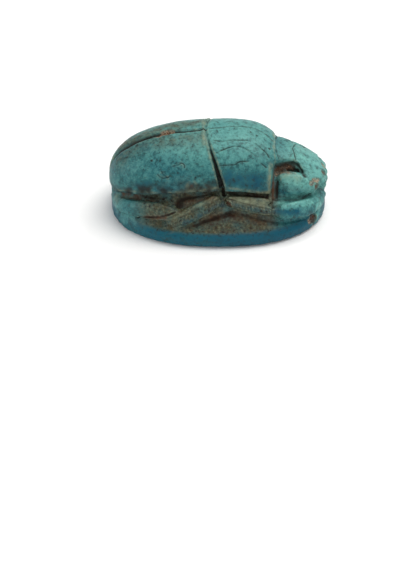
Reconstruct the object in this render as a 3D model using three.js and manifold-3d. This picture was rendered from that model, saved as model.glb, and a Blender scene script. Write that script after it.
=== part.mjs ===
// A scarab amulet: a beetle carved in one with its oval plinth, in blue-green glazed ware.
// Millimetres, +Z up, +X towards the beetle's head, origin under the middle of the plinth.

import * as THREE from 'three';
import { LoftGeometry } from 'three/addons/geometries/LoftGeometry.js';
import { mergeVertices } from 'three/addons/utils/BufferGeometryUtils.js';
import Module from 'manifold-3d';

const wasm = await Module();
wasm.setup();

// Driving sizes of the plinth.
const PLINTH_LENGTH = 19.6;
const PLINTH_WIDTH = 14;
const PLINTH_THICKNESS = 1.3;
const PLINTH_LOWER_EDGE_RADIUS = 0.4;
const PLINTH_UPPER_EDGE_RADIUS = 0.25;
const OUTLINE_FULLNESS = 2.25;

// Driving sizes of the beetle. Its carving keeps its proportions as shares of the plinth's half
// length, half width and of the height above the plinth.
const TOTAL_HEIGHT = 8.6;
const BACK_FULLNESS = 2.5;
const BACK_ARCH = 2.2;
const HEM_TUCK = 0.4;

// Carved lines.
const SUTURE_WIDTH = 0.3;
const SUTURE_DEPTH = 0.3;
const SEAM_WIDTH = 0.36;
const SEAM_DEPTH = 0.4;
const BROW_WIDTH = 0.26;
const BROW_DEPTH = 0.16;
const LEG_RIB_PITCH = 0.5;
const LEG_RIB_DEPTH = 0.07;

// Legs, at their widest.
const THIGH_WIDTH = 1.5;
const MIDDLE_LEG_WIDTH = 0.96;
const UPPER_LEG_WIDTH = 0.6;
const FORE_LEG_WIDTH = 2.24;
const FRONT_BAND_WIDTH = 1.6;
const REAR_BAND_WIDTH = 1.64;
const LEG_THICKNESS = 0.84;
const UPPER_LEG_THICKNESS = 0.68;
const FORE_LEG_THICKNESS = 1.7;

// The stringing hole runs the whole length, just above the plinth.
const BORE_DIAMETER = 1.4;
const BORE_HEIGHT = 2.35;

// The sunk design of the underside: a border line, two ovals and rows of plain strokes.
const BORDER_INSET_END = 0.9;
const BORDER_INSET_SIDE = 1.15;
const LINE_WIDTH = 0.26;
const LINE_DEPTH = 0.16;
const OVAL_LENGTH = 9.2;
const OVAL_WIDTH = 4.4;
const OVAL_GAP = 0.55;
const OVAL_FULLNESS = 2.7;
const OVAL_OFFSET = -2.4;
const STROKE_WIDTH = 0.26;
const STROKE_DEPTH = 0.14;
const STROKE_PITCH = 1.1;
const STROKE_TURN = 0.45 * Math.PI;

// How finely round shapes are cut into facets.
const PLINTH_SIDES = 44;
const BACK_SIDES = 40;
const BACK_RINGS = 8;
const LEG_SIDES = 8;
const HEAD_SIDES = 14;
const BORE_SIDES = 12;
const MERGE_DISTANCE = 1e-5;

const HALF_LENGTH = PLINTH_LENGTH / 2;
const HALF_WIDTH = PLINTH_WIDTH / 2;
const BODY_HEIGHT = TOTAL_HEIGHT - PLINTH_THICKNESS;

// A point from shares of the half length, half width and height above the plinth.
function place( lengthShare, widthShare, heightShare ) {

	return new THREE.Vector3(
		lengthShare * HALF_LENGTH,
		widthShare * HALF_WIDTH,
		PLINTH_THICKNESS + heightShare * BODY_HEIGHT
	);

}

// A smooth curve through [share, value] knots, read at any share between them.
function profile( knots ) {

	const points = knots.map( ( [ share, value ] ) => new THREE.Vector2( share, value ) );
	const samples = new THREE.SplineCurve( points ).getPoints( 12 * knots.length );
	return ( share ) => {

		const after = samples.findIndex( ( point ) => point.x >= share );
		if ( after <= 0 ) return after === 0 ? samples[ 0 ].y : samples.at( - 1 ).y;
		const from = samples[ after - 1 ];
		const to = samples[ after ];
		return THREE.MathUtils.mapLinear( share, from.x, to.x, from.y, to.y );

	};

}

// The reach of a full oval of the given fullness in a direction, as a share of its half axes.
function ovalReach( angle, fullness ) {

	const along = Math.abs( Math.cos( angle ) ) ** fullness;
	const across = Math.abs( Math.sin( angle ) ) ** fullness;
	return ( along + across ) ** ( - 1 / fullness );

}

// A ring of points round a full oval, lying level.
function ovalRing( halfLength, halfWidth, z, sides, fullness ) {

	return Array.from( { length: sides }, ( _, index ) => {

		const angle = 2 * Math.PI * index / sides;
		const reach = ovalReach( angle, fullness );
		return new THREE.Vector3(
			halfLength * reach * Math.cos( angle ),
			halfWidth * reach * Math.sin( angle ),
			z
		);

	} );

}

// A closed geometry as a solid with its faces pointing out.
function toSolid( geometry ) {

	const bare = new THREE.BufferGeometry();
	bare.setAttribute( 'position', geometry.getAttribute( 'position' ) );
	bare.setIndex( geometry.getIndex() );
	const merged = mergeVertices( bare, MERGE_DISTANCE );
	const position = merged.getAttribute( 'position' );
	const index = merged.getIndex().array;
	const triangles = [];
	const a = new THREE.Vector3();
	const b = new THREE.Vector3();
	const c = new THREE.Vector3();
	let volume = 0;
	for ( let corner = 0; corner < index.length; corner += 3 ) {

		const [ i, j, k ] = [ index[ corner ], index[ corner + 1 ], index[ corner + 2 ] ];
		if ( i === j || j === k || k === i ) continue;
		a.fromBufferAttribute( position, i );
		b.fromBufferAttribute( position, j );
		c.fromBufferAttribute( position, k );
		volume += a.dot( b.cross( c ) );
		triangles.push( i, j, k );

	}

	if ( volume < 0 ) triangles.reverse();
	return new wasm.Manifold( new wasm.Mesh( {
		numProp: 3,
		vertProperties: new Float32Array( position.array ),
		triVerts: new Uint32Array( triangles )
	} ) );

}

// A solid skinned over closed rings. Its end is capped unless the last ring shrinks to a point.
function skin( rings, capEnd = true ) {

	return toSolid( new LoftGeometry( rings, { capStart: true, capEnd } ) );

}

// The plinth and the narrower flank that carries the beetle, from the underside up.
function plinthAndFlank() {

	const low = PLINTH_LOWER_EDGE_RADIUS;
	const high = PLINTH_UPPER_EDGE_RADIUS;
	const rounding = ( radius, angle ) => radius * ( 1 - Math.cos( angle ) );
	const rows = [];
	for ( const angle of [ Math.PI / 2, Math.PI / 4, 0 ] ) {

		const inset = rounding( low, angle );
		rows.push( [ low * ( 1 - Math.sin( angle ) ), inset, inset ] );

	}

	for ( const angle of [ 0, Math.PI / 4, Math.PI / 2 ] ) {

		const inset = rounding( high, angle );
		rows.push( [ PLINTH_THICKNESS - high * ( 1 - Math.sin( angle ) ), inset, inset ] );

	}

	const plinth = rows.map( ( [ z, endInset, sideInset ] ) =>
		ovalRing( HALF_LENGTH - endInset, HALF_WIDTH - sideInset, z, PLINTH_SIDES, OUTLINE_FULLNESS ) );
	// The flank falls in steeply over the plinth, then leans in under the wing cases.
	const flank = [
		[ 0.015, 0.972, 0.91 ],
		[ 0.08, 0.972, 0.842 ],
		[ 0.18, 0.964, 0.772 ],
		[ 0.29, 0.905, 0.714 ],
		[ 0.4, 0.8, 0.645 ],
		[ 0.49, 0.63, 0.56 ],
		[ 0.54, 0.4, 0.4 ]
	].map( ( [ height, length, width ] ) => {

		const z = PLINTH_THICKNESS + height * BODY_HEIGHT;
		return ovalRing( length * HALF_LENGTH, width * HALF_WIDTH, z, PLINTH_SIDES, OUTLINE_FULLNESS );

	} );
	return skin( [ ...plinth, ...flank ] );

}

// The back, a full arched dome, is described by its reaches from its crown.
const CROWN = place( 0.102, 0, 1 );
const BACK_REACH_REAR = 1.022 * HALF_LENGTH + CROWN.x;
const BACK_REACH_FRONT = 0.572 * HALF_LENGTH;
const BACK_REACH_SIDE = 0.735 * HALF_WIDTH;
const WIDEST_HEIGHT_END = PLINTH_THICKNESS + 0.356 * BODY_HEIGHT;
const WIDEST_HEIGHT_SIDE = PLINTH_THICKNESS + 0.199 * BODY_HEIGHT;
const HEM_HEIGHT_REAR = PLINTH_THICKNESS + 0.082 * BODY_HEIGHT;
const HEM_HEIGHT_SIDE = PLINTH_THICKNESS + 0.489 * BODY_HEIGHT;

function backReach( angle ) {

	const along = Math.cos( angle ) < 0 ? BACK_REACH_REAR : BACK_REACH_FRONT;
	const reach = ovalReach( angle, BACK_FULLNESS );
	const across = BACK_REACH_SIDE * reach * Math.sin( angle );
	return new THREE.Vector2( along * reach * Math.cos( angle ), across );

}

// The height at which the dome is widest, and the height of its lower hem, in one direction.
function widestHeight( angle ) {

	return THREE.MathUtils.lerp( WIDEST_HEIGHT_END, WIDEST_HEIGHT_SIDE, Math.sin( angle ) ** 2 );

}

function hemHeight( angle ) {

	return THREE.MathUtils.lerp( HEM_HEIGHT_REAR, HEM_HEIGHT_SIDE, Math.abs( Math.sin( angle ) ) ** 1.2 );

}

// How far out the dome stands at a height, as a share of its reach in that direction.
function backSpread( z, widest, hem ) {

	if ( z < widest ) return 1 - HEM_TUCK / BACK_REACH_REAR * ( ( widest - z ) / ( widest - hem ) ) ** 2;
	const rise = Math.min( 1, ( z - widest ) / ( CROWN.z - widest ) );
	return ( 1 - rise ** BACK_ARCH ) ** ( 1 / BACK_ARCH );

}

// The point of the dome in a direction, at a share of the way from its hem up to its crown.
function backPoint( angle, rise ) {

	const hem = hemHeight( angle );
	const z = THREE.MathUtils.lerp( hem, CROWN.z, Math.sin( rise * Math.PI / 2 ) ** 1.15 );
	const reach = backReach( angle ).multiplyScalar( backSpread( z, widestHeight( angle ), hem ) );
	return new THREE.Vector3( CROWN.x + reach.x, reach.y, z );

}

// The height of the dome above a place in plan.
function backHeight( x, y ) {

	const along = x - CROWN.x;
	const u = along / ( along < 0 ? BACK_REACH_REAR : BACK_REACH_FRONT );
	const v = y / BACK_REACH_SIDE;
	const fullness = Math.abs( u ) ** BACK_FULLNESS + Math.abs( v ) ** BACK_FULLNESS;
	const spread = Math.min( 1, fullness ** ( 1 / BACK_FULLNESS ) );
	const widest = widestHeight( Math.atan2( v, u ) );
	return widest + ( CROWN.z - widest ) * ( 1 - spread ** BACK_ARCH ) ** ( 1 / BACK_ARCH );

}

// The front edge of the thorax, in plan, is bowed forward.
const THORAX_FRONT_MIDDLE = 0.53 * HALF_LENGTH;
const THORAX_FRONT_SIDE = 0.39 * HALF_LENGTH;

function back() {

	const turn = 2 * Math.PI / BACK_SIDES;
	const directions = Array.from( { length: BACK_SIDES }, ( _, index ) => index * turn );
	const rings = [];
	rings.push( directions.map( ( angle ) => {

		const hem = backPoint( angle, 0 );
		return new THREE.Vector3( hem.x * 0.6, hem.y * 0.6, hem.z - 0.03 * TOTAL_HEIGHT );

	} ) );
	for ( let ring = 0; ring <= BACK_RINGS; ring ++ ) {

		rings.push( directions.map( ( angle ) => backPoint( angle, ring / BACK_RINGS ) ) );

	}

	const front = new THREE.Shape();
	const far = HALF_WIDTH;
	front.moveTo( THORAX_FRONT_SIDE, - far );
	front.quadraticCurveTo( 2 * THORAX_FRONT_MIDDLE - THORAX_FRONT_SIDE, 0, THORAX_FRONT_SIDE, far );
	front.lineTo( PLINTH_LENGTH, far );
	front.lineTo( PLINTH_LENGTH, - far );
	const cutter = new THREE.ExtrudeGeometry( front, {
		depth: TOTAL_HEIGHT * 2,
		bevelEnabled: false,
		curveSegments: 10
	} );
	return skin( rings, false ).subtract( toSolid( cutter ) );

}

// How a leg leans outward, how square its section is, how blunt its ends are, and how deep it is
// rooted in the flank, as a share of the half that stands out.
const BAND_LEAN = 0.45;
const BAND_FULLNESS = 2.6;
const BAND_END_FLAT = 0.05;
const BAND_ROOT = 2.2;

// A band of rounded section that follows a curve and lies on the flank. Its width is a share of
// its greatest width that changes along it, and its ends are rounded off.
function band( { points, width, widthShares, thickness, steps, sides = LEG_SIDES, ribs = false } ) {

	const path = new THREE.CatmullRomCurve3( points );
	const widthShare = profile( widthShares );
	const length = path.getLength();
	const rings = [];
	for ( let step = 0; step <= steps; step ++ ) {

		const share = step / steps;
		const centre = path.getPointAt( share );
		const tangent = path.getTangentAt( share );
		const outward = new THREE.Vector3( centre.x / HALF_LENGTH ** 2, centre.y / HALF_WIDTH ** 2, 0 );
		outward.normalize().setZ( BAND_LEAN );
		const across = new THREE.Vector3().crossVectors( outward, tangent ).normalize();
		outward.crossVectors( tangent, across );
		const fromEnd = Math.min( share, 1 - share ) * length;
		const halfWidth = width / 2 * widthShare( share );
		const round = Math.sqrt( 1 - ( 1 - Math.min( 1, ( fromEnd + BAND_END_FLAT ) / halfWidth ) ) ** 2 );
		const rib = ribs && step % 2 === 1 ? LEG_RIB_DEPTH : 0;
		rings.push( Array.from( { length: sides }, ( _, index ) => {

			const angle = 2 * Math.PI * ( index + 0.5 ) / sides;
			const bulge = ovalReach( angle, BAND_FULLNESS );
			const depth = Math.sin( angle ) < 0 ? thickness / 2 * BAND_ROOT : thickness / 2 * round - rib;
			return centre.clone()
				.addScaledVector( across, ( halfWidth * round - rib / 2 ) * bulge * Math.cos( angle ) )
				.addScaledVector( outward, depth * bulge * Math.sin( angle ) );

		} ) );

	}

	return skin( rings );

}

function ribSteps( points ) {

	return 2 * Math.round( new THREE.CatmullRomCurve3( points ).getLength() / LEG_RIB_PITCH );

}

// Mirror images of a list of half-way-round points, joined into one run from right to left.
function roundTheEnd( points ) {

	const middle = points.at( - 1 );
	const others = points.slice( 0, - 1 );
	const mirrored = others.map( ( point ) => new THREE.Vector3( point.x, - point.y, point.z ) ).reverse();
	return [ ...others, middle, ...mirrored ];

}

// The fore legs meet in one smooth band round the front, the hind shins in one round the rear.
function frontBand() {

	return band( {
		points: roundTheEnd( [
			place( 0.5, - 0.755, 0.22 ),
			place( 0.6, - 0.725, 0.215 ),
			place( 0.74, - 0.64, 0.19 ),
			place( 0.88, - 0.445, 0.135 ),
			place( 0.95, - 0.2, 0.1 ),
			place( 0.958, 0, 0.095 )
		] ),
		width: FRONT_BAND_WIDTH,
		widthShares: [ [ 0, 0.925 ], [ 0.2, 1 ], [ 0.5, 0.69 ], [ 0.8, 1 ], [ 1, 0.925 ] ],
		thickness: LEG_THICKNESS,
		steps: 18
	} );

}

function rearBand() {

	return band( {
		points: roundTheEnd( [
			place( - 0.36, - 0.79, 0.235 ),
			place( - 0.46, - 0.765, 0.225 ),
			place( - 0.65, - 0.69, 0.2 ),
			place( - 0.82, - 0.54, 0.155 ),
			place( - 0.93, - 0.31, 0.085 ),
			place( - 0.955, 0, 0.055 )
		] ),
		width: REAR_BAND_WIDTH,
		widthShares: [ [ 0, 0.756 ], [ 0.15, 1 ], [ 0.5, 0.61 ], [ 0.85, 1 ], [ 1, 0.756 ] ],
		thickness: LEG_THICKNESS,
		steps: 20
	} );

}

// The legs of one side: a ribbed hind thigh, a ribbed middle leg, the smooth one above it and the
// rounded fore leg under the head. The side is 1 for the beetle's left and -1 for its right.
function legs( side ) {

	const thigh = [
		place( - 0.47, side * 0.825, 0.1 ),
		place( - 0.39, side * 0.82, 0.135 ),
		place( - 0.24, side * 0.8, 0.22 ),
		place( - 0.1, side * 0.765, 0.31 ),
		place( 0.02, side * 0.72, 0.39 )
	];
	const middle = [
		place( 0.07, side * 0.72, 0.355 ),
		place( 0.22, side * 0.755, 0.315 ),
		place( 0.38, side * 0.765, 0.27 ),
		place( 0.51, side * 0.755, 0.23 )
	];
	return [
		band( {
			points: thigh,
			width: THIGH_WIDTH,
			widthShares: [ [ 0, 0.8 ], [ 0.35, 1 ], [ 0.7, 1 ], [ 1, 0.75 ] ],
			thickness: LEG_THICKNESS,
			steps: ribSteps( thigh ),
			ribs: true
		} ),
		band( {
			points: middle,
			width: MIDDLE_LEG_WIDTH,
			widthShares: [ [ 0, 0.75 ], [ 0.5, 0.96 ], [ 1, 1 ] ],
			thickness: LEG_THICKNESS,
			steps: ribSteps( middle ),
			ribs: true
		} ),
		band( {
			points: [
				place( 0.1, side * 0.7, 0.4 ),
				place( 0.3, side * 0.7, 0.375 ),
				place( 0.5, side * 0.68, 0.33 )
			],
			width: UPPER_LEG_WIDTH,
			widthShares: [ [ 0, 0.8 ], [ 0.5, 1 ], [ 1, 1 ] ],
			thickness: UPPER_LEG_THICKNESS,
			steps: 6,
			sides: 8
		} ),
		band( {
			points: [
				place( 0.53, side * 0.42, 0.41 ),
				place( 0.65, side * 0.4, 0.425 ),
				place( 0.8, side * 0.335, 0.375 ),
				place( 0.92, side * 0.26, 0.285 )
			],
			width: FORE_LEG_WIDTH,
			widthShares: [ [ 0, 0.94 ], [ 0.4, 1 ], [ 1, 0.49 ] ],
			thickness: FORE_LEG_THICKNESS,
			steps: 8,
			sides: 10
		} )
	];

}

// The head is a rounded plate that slopes forward and widens into the shovel-shaped front edge.
// Each station gives its place along, crown height, edge height, underside height and half width.
const HEAD_STATIONS = [
	[ 0.49, 0.762, 0.71, 0.4, 0.285 ],
	[ 0.545, 0.76, 0.708, 0.4, 0.281 ],
	[ 0.6, 0.747, 0.698, 0.4, 0.262 ],
	[ 0.66, 0.725, 0.68, 0.4, 0.232 ],
	[ 0.7, 0.7, 0.658, 0.4, 0.208 ],
	[ 0.735, 0.665, 0.618, 0.39, 0.218 ],
	[ 0.775, 0.617, 0.555, 0.37, 0.275 ],
	[ 0.82, 0.563, 0.495, 0.34, 0.31 ],
	[ 0.87, 0.512, 0.455, 0.3, 0.308 ],
	[ 0.92, 0.468, 0.425, 0.26, 0.29 ],
	[ 0.97, 0.412, 0.382, 0.22, 0.255 ],
	[ 1, 0.352, 0.338, 0.2, 0.2 ]
];

function headSection( [ along, crown, edge, under, halfWidth ] ) {

	const spread = halfWidth * HALF_WIDTH;
	return Array.from( { length: HEAD_SIDES }, ( _, index ) => {

		const angle = 2 * Math.PI * index / HEAD_SIDES;
		const reach = ovalReach( angle, Math.sin( angle ) > 0 ? 2 : 3 );
		const height = Math.sin( angle ) > 0 ? crown - edge : edge - under;
		const z = PLINTH_THICKNESS + ( edge + height * reach * Math.sin( angle ) ) * BODY_HEIGHT;
		return new THREE.Vector3( along * HALF_LENGTH, spread * reach * Math.cos( angle ), z );

	} );

}

// A rounded lump. Its reach along X, Y and Z is given as shares, like the places of the carving.
function lump( centre, [ lengthShare, widthShare, heightShare ], segments = 10 ) {

	const ball = new THREE.SphereGeometry( 1, segments, Math.round( segments * 0.7 ) );
	ball.scale( lengthShare * HALF_LENGTH, widthShare * HALF_WIDTH, heightShare * BODY_HEIGHT );
	ball.translate( centre.x, centre.y, centre.z );
	return toSolid( ball );

}

// The blunt teeth of the front edge stand in a shallow arc, their pitch a share of the half width.
const TOOTH_COUNT = 4;
const TOOTH_PITCH = 0.14;
const TOOTH_ARC = 0.3;

function head() {

	const solids = [ skin( HEAD_STATIONS.map( headSection ) ) ];
	for ( let tooth = 0; tooth < TOOTH_COUNT; tooth ++ ) {

		const widthShare = TOOTH_PITCH * ( tooth - ( TOOTH_COUNT - 1 ) / 2 );
		const lengthShare = 0.978 - TOOTH_ARC * widthShare ** 2;
		solids.push( lump( place( lengthShare, widthShare, 0.3 ), [ 0.043, 0.057, 0.075 ], 8 ) );

	}

	return solids;

}

// A line cut along a path of points, of V section, sunk into the surface along the given inward way.
function cutLine( points, width, depth, inward, closed = false ) {

	const count = points.length;
	const rings = points.map( ( point, index ) => {

		const before = points[ closed ? ( index + count - 1 ) % count : Math.max( 0, index - 1 ) ];
		const after = points[ closed ? ( index + 1 ) % count : Math.min( count - 1, index + 1 ) ];
		const tangent = after.clone().sub( before ).normalize();
		const down = inward( point );
		const across = new THREE.Vector3().crossVectors( tangent, down ).normalize();
		const half = width( index / ( count - 1 ) ) / 2;
		const sunk = depth( index / ( count - 1 ) );
		return [
			point.clone().addScaledVector( down, sunk ),
			point.clone().addScaledVector( down, - sunk ).addScaledVector( across, 2 * half ),
			point.clone().addScaledVector( down, - sunk ).addScaledVector( across, - 2 * half )
		];

	} );
	if ( ! closed ) return skin( rings );
	return toSolid( new LoftGeometry( [ ...rings, rings[ 0 ] ] ) );

}

function towardsMiddle( point ) {

	return new THREE.Vector3( - point.x * 0.2, - point.y, HALF_WIDTH * 0.3 - point.z ).normalize();

}

// The line between the wing cases, along the top of the back.
function suture() {

	const start = - 0.99 * HALF_LENGTH;
	const end = - 0.13 * HALF_LENGTH;
	const points = Array.from( { length: 17 }, ( _, index ) => {

		const x = THREE.MathUtils.lerp( start, end, ( index / 16 ) ** 1.4 );
		return new THREE.Vector3( x, 0, backHeight( x, 0 ) );

	} );
	const inward = new THREE.Vector3( 0.25, 0, - 1 ).normalize();
	const swell = ( share ) => SUTURE_WIDTH * ( 0.35 + 0.65 * Math.sin( Math.PI * share ) );
	return cutLine( points, swell, () => SUTURE_DEPTH, () => inward );

}

// The seam between the wing cases and the thorax, bowed to the rear at the top.
const SEAM_MIDDLE = - 0.125;
const SEAM_BOW = 0.17;

function thoraxSeam() {

	const reach = 0.985 * BACK_REACH_SIDE;
	const points = Array.from( { length: 19 }, ( _, index ) => {

		const y = reach * Math.sin( Math.PI * ( index / 18 - 0.5 ) );
		const x = ( SEAM_MIDDLE + SEAM_BOW * ( y / reach ) ** 2 ) * HALF_LENGTH;
		return new THREE.Vector3( x, y, backHeight( x, y ) );

	} );
	const open = ( share ) => SEAM_WIDTH * ( 0.3 + 0.7 * Math.abs( 2 * share - 1 ) );
	const sunk = ( share ) => SEAM_DEPTH * ( 0.35 + 0.65 * Math.abs( 2 * share - 1 ) );
	return cutLine( points, open, sunk, towardsMiddle );

}

// The curved line across the head, behind its shovel-shaped front.
function browLine() {

	const halfSpan = 0.24;
	const points = Array.from( { length: 9 }, ( _, index ) => {

		const widthShare = halfSpan * ( index / 4 - 1 );
		const bow = ( widthShare / halfSpan ) ** 2;
		return place( 0.69 + 0.03 * bow, widthShare, 0.705 - 0.06 * bow );

	} );
	const inward = new THREE.Vector3( - 0.3, 0, - 1 ).normalize();
	return cutLine( points, () => BROW_WIDTH, () => BROW_DEPTH, () => inward );

}

function bore() {

	const radius = BORE_DIAMETER / 2;
	const drill = new THREE.CylinderGeometry( radius, radius, 2 * PLINTH_LENGTH, BORE_SIDES );
	drill.rotateZ( Math.PI / 2 );
	drill.translate( 0, 0, BORE_HEIGHT );
	return toSolid( drill );

}

const UP = new THREE.Vector3( 0, 0, 1 );

// A closed sunk line of the underside, along a full oval.
function ovalLine( halfLength, halfWidth, centreX, centreY, fullness, sides ) {

	const points = ovalRing( halfLength, halfWidth, 0, sides, fullness );
	points.forEach( ( point ) => point.add( new THREE.Vector3( centreX, centreY, 0 ) ) );
	return cutLine( points, () => LINE_WIDTH, () => LINE_DEPTH, () => UP, true );

}

// One plain stroke of the underside.
function stroke( x, y, length, turn ) {

	const end = new THREE.Vector3( Math.cos( turn ), Math.sin( turn ), 0 ).multiplyScalar( length / 2 );
	const centre = new THREE.Vector3( x, y, 0 );
	const points = [ centre.clone().sub( end ), centre.clone().add( end ) ];
	return cutLine( points, () => STROKE_WIDTH, () => STROKE_DEPTH, () => UP );

}

// A row of plain upright strokes, longer and shorter in turn, all with the same slight lean.
function strokeRow( centreX, centreY, rowLength, tall ) {

	const count = Math.max( 1, Math.floor( rowLength / STROKE_PITCH ) );
	const heights = [ 0.6, 1, 0.8 ];
	return Array.from( { length: count }, ( _, index ) => {

		const x = centreX + STROKE_PITCH * ( index - ( count - 1 ) / 2 );
		return stroke( x, centreY, tall * heights[ index % heights.length ], STROKE_TURN );

	} );

}

function undersideDesign() {

	const cuts = [ ovalLine(
		HALF_LENGTH - BORDER_INSET_END,
		HALF_WIDTH - BORDER_INSET_SIDE,
		0, 0, OUTLINE_FULLNESS, 36
	) ];
	const halfOval = OVAL_WIDTH / 2;
	for ( const side of [ - 1, 1 ] ) {

		const centreY = side * ( OVAL_GAP / 2 + halfOval );
		cuts.push( ovalLine( OVAL_LENGTH / 2, halfOval, OVAL_OFFSET, centreY, OVAL_FULLNESS, 24 ) );
		for ( const row of [ - 0.2, 0.2 ] ) {

			const y = centreY + row * OVAL_WIDTH;
			cuts.push( ...strokeRow( OVAL_OFFSET, y, OVAL_LENGTH * 0.7, OVAL_WIDTH * 0.26 ) );

		}

	}

	const fieldStart = OVAL_OFFSET + OVAL_LENGTH / 2;
	const fieldLength = HALF_LENGTH - BORDER_INSET_END - fieldStart;
	const fieldRows = [ - 0.5, - 0.17, 0.17, 0.5 ];
	for ( const share of fieldRows ) {

		const y = share * ( HALF_WIDTH - BORDER_INSET_SIDE );
		const span = fieldLength * ( 0.72 - 0.5 * share ** 2 );
		cuts.push( ...strokeRow( fieldStart + fieldLength * 0.45, y, span, PLINTH_WIDTH * 0.09 ) );

	}

	return cuts;

}

// Old losses: a chip in the rim by the head and three along the edge of the underside.
function chips() {

	const sunk = ( lengthShare, widthShare, z, shares ) =>
		lump( new THREE.Vector3( lengthShare * HALF_LENGTH, widthShare * HALF_WIDTH, z ), shares, 8 );
	return [
		sunk( 0.905, - 0.53, PLINTH_THICKNESS * 0.75, [ 0.043, 0.043, 0.068 ] ),
		sunk( - 0.84, - 0.54, 0, [ 0.036, 0.043, 0.034 ] ),
		sunk( - 0.465, 0.93, 0, [ 0.041, 0.036, 0.034 ] ),
		sunk( 0.66, 0.79, 0, [ 0.041, 0.043, 0.034 ] )
	];

}

// The hollows of one side: over the thigh, between the head and the fore leg, behind the fore leg.
function hollows( side ) {

	const overThigh = lump( place( - 0.25, side * 0.74, 0.41 ), [ 0.194, 0.079, 0.055 ] );
	const underHead = lump( place( 0.645, side * 0.3, 0.6 ), [ 0.138, 0.121, 0.055 ] );
	const behindForeLeg = lump( place( 0.53, side * 0.57, 0.43 ), [ 0.035, 0.1, 0.137 ] );
	return [ overThigh, underHead, behindForeLeg ];

}

const joined = [
	plinthAndFlank(),
	back(),
	frontBand(),
	rearBand(),
	...legs( 1 ),
	...legs( - 1 ),
	...head()
].reduce( ( whole, piece ) => whole.add( piece ) );

const carved = [
	suture(),
	thoraxSeam(),
	browLine(),
	bore(),
	...hollows( 1 ),
	...hollows( - 1 ),
	...undersideDesign(),
	...chips()
].reduce( ( whole, cut ) => whole.subtract( cut ), joined );

const carvedMesh = carved.getMesh();
const corners = new THREE.BufferAttribute( new Float32Array( carvedMesh.vertProperties ), 3 );
const triangles = new THREE.BufferAttribute( new Uint32Array( carvedMesh.triVerts ), 1 );
const amuletGeometry = new THREE.BufferGeometry();
amuletGeometry.setAttribute( 'position', corners );
amuletGeometry.setIndex( triangles );
amuletGeometry.computeVertexNormals();

const glazedWare = new THREE.MeshStandardMaterial( { color: 0x4a8789, roughness: 0.55, metalness: 0 } );
const amulet = new THREE.Mesh( amuletGeometry, glazedWare );
amulet.name = 'scarab_amulet';

const model = new THREE.Group();
model.add( amulet );

export default model;
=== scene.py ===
"""The looks of a scarab amulet: a beetle carved in glazed ware, worn, cracked and dusty."""

import math

import bmesh
import bpy
import numpy as np
from bpy.props import FloatProperty, FloatVectorProperty, IntProperty, PointerProperty
from mathutils import Matrix, Vector, noise
from mathutils.bvhtree import BVHTree


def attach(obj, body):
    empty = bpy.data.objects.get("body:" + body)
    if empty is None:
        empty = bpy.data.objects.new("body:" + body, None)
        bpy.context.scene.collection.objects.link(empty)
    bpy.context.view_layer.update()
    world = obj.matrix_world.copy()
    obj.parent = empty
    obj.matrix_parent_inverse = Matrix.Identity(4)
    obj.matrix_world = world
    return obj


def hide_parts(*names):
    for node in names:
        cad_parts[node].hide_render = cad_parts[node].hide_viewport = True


bl_info = {
    "name": "Scarab amulet",
    "version": (1, 0, 0),
    "blender": (4, 5, 0),
    "location": "3D View > Sidebar > Amulet",
    "description": "Carves and glazes a scarab amulet round its packed frame",
    "category": "Object",
}

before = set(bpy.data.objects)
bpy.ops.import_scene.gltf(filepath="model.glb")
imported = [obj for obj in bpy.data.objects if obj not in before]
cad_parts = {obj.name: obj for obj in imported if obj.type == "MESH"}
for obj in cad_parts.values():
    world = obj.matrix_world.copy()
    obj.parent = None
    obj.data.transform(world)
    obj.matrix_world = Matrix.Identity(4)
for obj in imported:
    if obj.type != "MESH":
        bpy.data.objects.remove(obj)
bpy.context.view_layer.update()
NODE = "scarab_amulet"
BODY = "root"
MILLIMETRE = 0.001

# The carving is worked out in millimetres. The plinth is 1.3 thick.
PLINTH_HALF_LENGTH = 9.8
PLINTH_HALF_WIDTH = 7.0
UNDERSIDE_HALF_WIDTH = 6.8
PLINTH_CORNER_HEIGHT = 1.25

# The oval that the wing cases' hem follows, and how the hem rises from the ends to the sides.
BODY_MIDDLE = 1.0
BODY_HALF_LENGTH = 10.9
BODY_HALF_WIDTH = 5.1
HEM_AT_THE_ENDS = 1.9
HEM_RISE = 2.97
HEM_CURVE = 1.2

# The share of the way to its neighbours' mean that a point goes in one round of smoothing.
EASE = 0.6

# The view that the lines of the carving are drawn on, in metres and radians.
VIEW_DISTANCE = 0.5
VIEW_ELEVATION = math.radians(34)

PICTURE_HEIGHT = 580
SENSOR = 36
WORLD_STRENGTH = 0.38
FLOOR_HALF_WIDTH = 2.0
FLOOR_COLOUR = (0.93, 0.93, 0.93, 1)

# Name, place, size, watts and colour of each light.
LIGHTS = [
    ("key", (0.20, 0.14, 0.45), 0.6, 2.95, (1, 0.985, 0.96)),
    ("fill", (0.10, -0.42, 0.22), 0.3, 0.4, (0.97, 0.985, 1)),
    ("left fill", (-0.45, -0.05, 0.2), 0.3, 0.8, (0.97, 0.985, 1)),
]


def srgb(red, green, blue):
    """A colour given as 0 to 255 display values, as the linear values that Blender mixes."""
    shares = [part / 255 for part in (red, green, blue)]
    return tuple(s / 12.92 if s <= 0.04045 else ((s + 0.055) / 1.055) ** 2.4 for s in shares)


class CarvingSizes(bpy.types.PropertyGroup):
    """Sizes of the carving, in millimetres."""

    grain: FloatProperty(
        name="Grain", description="Size of the clay's grain, which is the mesh's spacing", default=0.09,
    )
    facet_rounds: IntProperty(
        name="Facet rounds", description="How often the broad surfaces are rubbed smooth", default=150,
    )
    unevenness: FloatProperty(
        name="Unevenness", description="How far the hand-made surface wanders", default=0.05,
    )
    crack_width: FloatProperty(
        name="Crack width", description="Half width of a fine crack in the glaze", default=0.07,
    )
    rib_pitch: FloatProperty(
        name="Rib pitch", description="Distance between the ribs of the thigh", default=0.36,
    )
    most_triangles: IntProperty(
        name="Most triangles", description="Triangles that the finished piece may have", default=196000,
    )


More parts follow.
